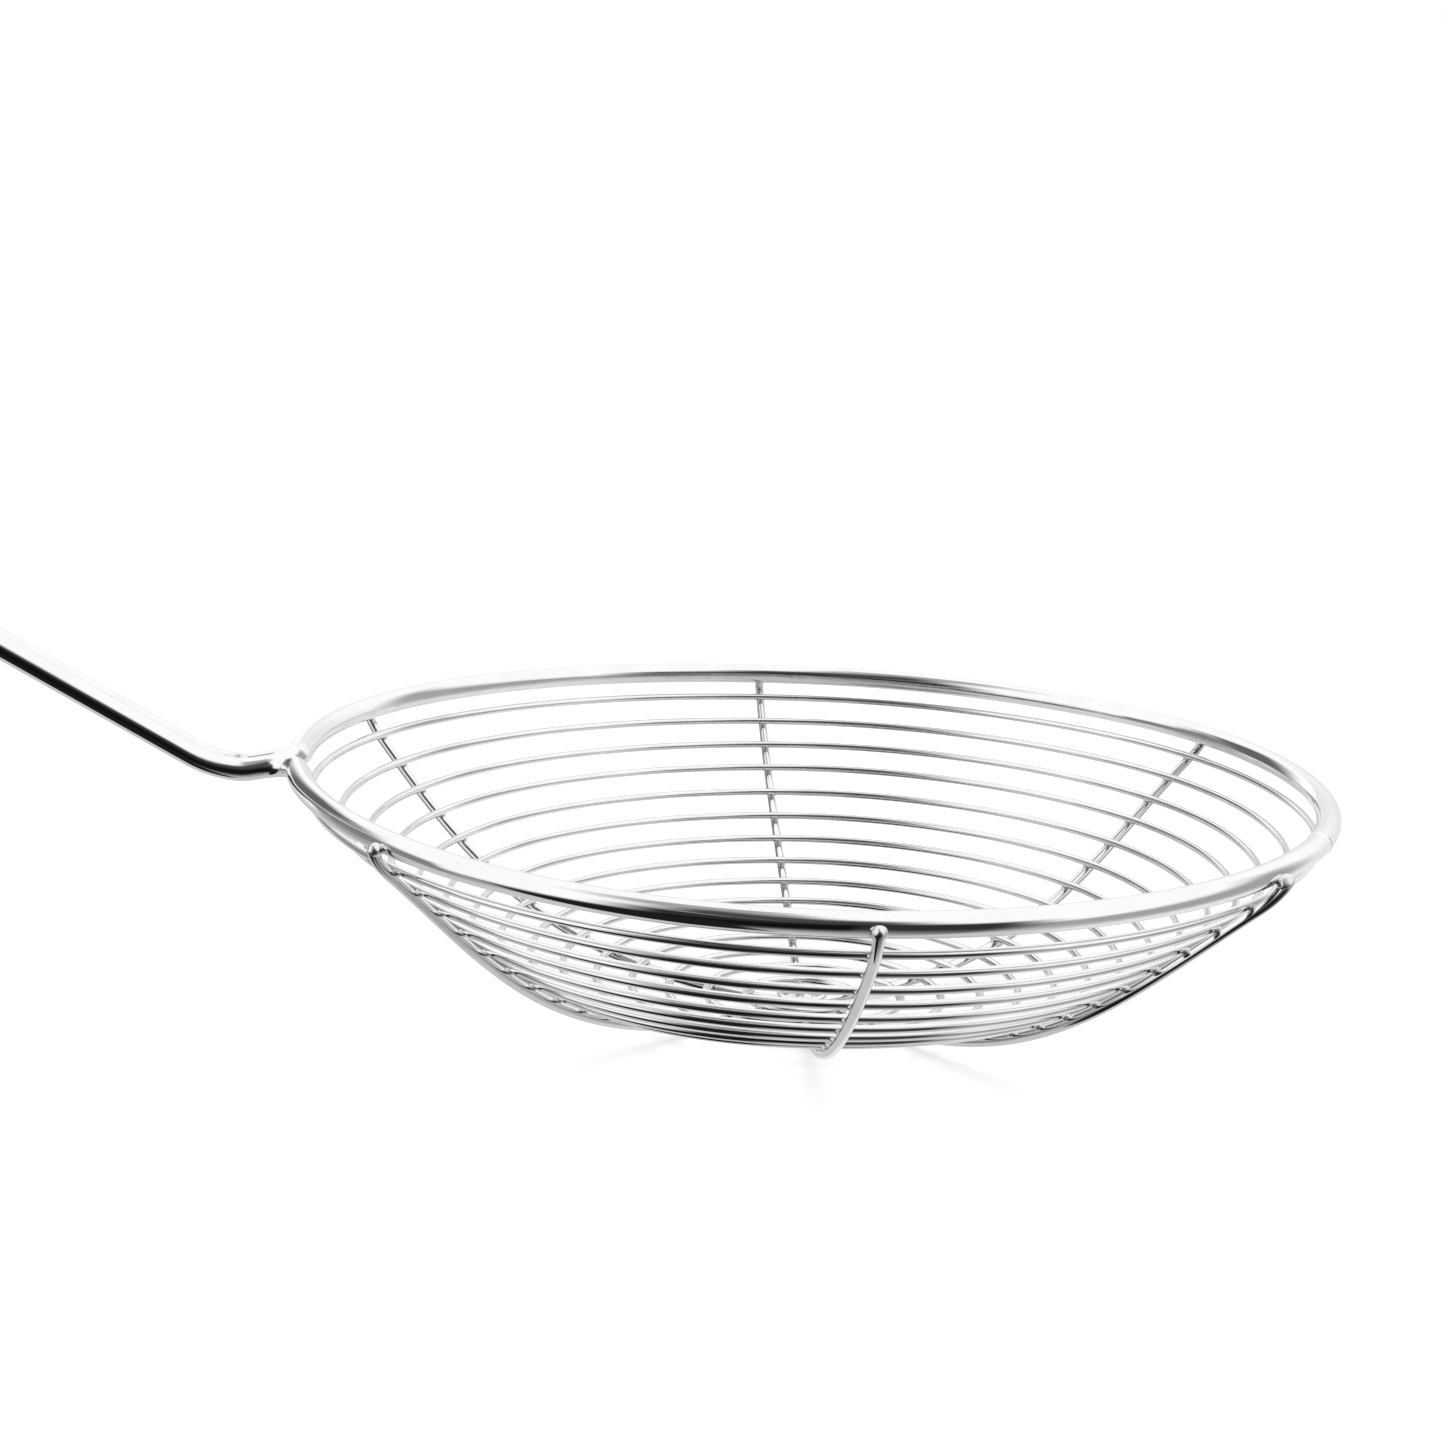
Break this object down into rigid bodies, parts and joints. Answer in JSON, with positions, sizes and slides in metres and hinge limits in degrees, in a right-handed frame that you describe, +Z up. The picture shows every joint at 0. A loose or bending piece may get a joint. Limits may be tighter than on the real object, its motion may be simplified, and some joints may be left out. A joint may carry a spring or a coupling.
{
  "type": "spider skimmer",
  "caption": "Wire skimmer with a shallow bowl of concentric rings welded in ribs under a round rim, and a two-legged rod handle that ends in a hanging loop.",
  "frame": {"origin": "the bowl's lowest point, on its axis, where it stands on a table", "axes": "+Z up along the bowl's axis, square to the rim; -X out along the handle; +Y completes a right-handed frame"},
  "size_m": [0.3975, 0.1877, 0.163],
  "materials": {
    "frame_steel": "bright polished rod",
    "rib_steel": "bright drawn wire",
    "ring_steel": "bright drawn wire"
  },
  "bodies": {
    "root": {"frame_rod": "frame_steel", "rib_1": "rib_steel", "rib_2": "rib_steel", "rib_3": "rib_steel", "rib_4": "rib_steel", "rib_5": "rib_steel", "rib_6": "rib_steel", "bowl_ring_01": "ring_steel", "bowl_ring_02": "ring_steel", "bowl_ring_03": "ring_steel", "bowl_ring_04": "ring_steel", "bowl_ring_05": "ring_steel", "bowl_ring_06": "ring_steel", "bowl_ring_07": "ring_steel", "bowl_ring_08": "ring_steel", "bowl_ring_09": "ring_steel", "bowl_ring_10": "ring_steel", "bowl_ring_11": "ring_steel", "bowl_ring_12": "ring_steel", "bowl_ring_13": "ring_steel", "bowl_ring_14": "ring_steel", "bowl_ring_15": "ring_steel", "hub_ring": "ring_steel"}
  },
  "joints": []
}
